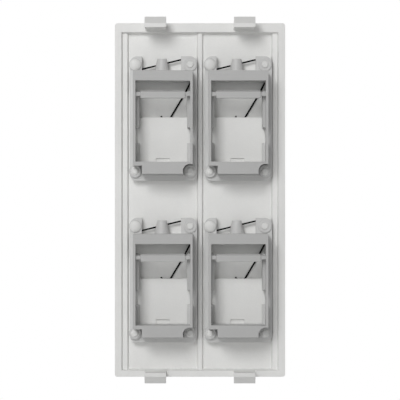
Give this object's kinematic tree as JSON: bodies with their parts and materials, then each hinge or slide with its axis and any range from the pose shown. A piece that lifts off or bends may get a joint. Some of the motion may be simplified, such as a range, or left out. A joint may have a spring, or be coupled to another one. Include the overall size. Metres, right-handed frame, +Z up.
{
  "type": "shuttered keystone faceplate",
  "caption": "Rectangular snap-in data faceplate with keystone ports, each closed by a spring-loaded sliding shutter; jacks clip into carriers staked to its back.",
  "frame": {"origin": "centre of the plane of the rear rim, which seats against the frame that the plate snaps into", "axes": "upright as fitted: +Z up, +Y out of the back, towards the wall; the front face looks towards -Y"},
  "size_m": [0.052, 0.013, 0.111],
  "materials": {
    "plate_plastic": "white moulded plastic, satin",
    "carrier_plastic": "light grey moulded plastic, satin",
    "shutter_plastic": "white moulded plastic, satin",
    "spring_wire": "dark spring wire"
  },
  "bodies": {
    "plate": {"faceplate": "plate_plastic", "carrier_upper_left": "carrier_plastic", "carrier_upper_right": "carrier_plastic", "carrier_lower_left": "carrier_plastic", "carrier_lower_right": "carrier_plastic"},
    "shutter_upper_left": {"shutter_upper_left": "shutter_plastic"},
    "spring_upper_left": {"spring_upper_left": "spring_wire"},
    "shutter_upper_right": {"shutter_upper_right": "shutter_plastic"},
    "spring_upper_right": {"spring_upper_right": "spring_wire"},
    "shutter_lower_left": {"shutter_lower_left": "shutter_plastic"},
    "spring_lower_left": {"spring_lower_left": "spring_wire"},
    "shutter_lower_right": {"shutter_lower_right": "shutter_plastic"},
    "spring_lower_right": {"spring_lower_right": "spring_wire"}
  },
  "joints": [
    {"name": "lift_upper_left", "type": "slide", "parent": "plate", "child": "shutter_upper_left", "axis": [0, 0, 1], "range_m": [0, 0.0108], "stiffness_N_per_m": 20, "springref_m": -0.015},
    {"name": "leg_upper_left", "type": "hinge", "parent": "plate", "child": "spring_upper_left", "pos_m": [-0.0198, -0.00175, 0.0413], "axis": [0, -1, 0], "range_deg": [0, 51.1], "deforming": ["spring_upper_left"]},
    {"name": "lift_upper_right", "type": "slide", "parent": "plate", "child": "shutter_upper_right", "axis": [0, 0, 1], "range_m": [0, 0.0108], "stiffness_N_per_m": 20, "springref_m": -0.015},
    {"name": "leg_upper_right", "type": "hinge", "parent": "plate", "child": "spring_upper_right", "pos_m": [0.003, -0.00175, 0.0413], "axis": [0, -1, 0], "range_deg": [0, 51.1], "deforming": ["spring_upper_right"]},
    {"name": "lift_lower_left", "type": "slide", "parent": "plate", "child": "shutter_lower_left", "axis": [0, 0, 1], "range_m": [0, 0.0108], "stiffness_N_per_m": 20, "springref_m": -0.015},
    {"name": "leg_lower_left", "type": "hinge", "parent": "plate", "child": "spring_lower_left", "pos_m": [-0.0198, -0.00175, -0.008], "axis": [0, -1, 0], "range_deg": [0, 51.1], "deforming": ["spring_lower_left"]},
    {"name": "lift_lower_right", "type": "slide", "parent": "plate", "child": "shutter_lower_right", "axis": [0, 0, 1], "range_m": [0, 0.0108], "stiffness_N_per_m": 20, "springref_m": -0.015},
    {"name": "leg_lower_right", "type": "hinge", "parent": "plate", "child": "spring_lower_right", "pos_m": [0.003, -0.00175, -0.008], "axis": [0, -1, 0], "range_deg": [0, 51.1], "deforming": ["spring_lower_right"]}
  ],
  "couplings": [
    {"joint": "leg_upper_left", "follows": "lift_upper_left", "rad_per_m": 82.445},
    {"joint": "leg_upper_right", "follows": "lift_upper_right", "rad_per_m": 82.445},
    {"joint": "leg_lower_left", "follows": "lift_lower_left", "rad_per_m": 82.445},
    {"joint": "leg_lower_right", "follows": "lift_lower_right", "rad_per_m": 82.445}
  ]
}
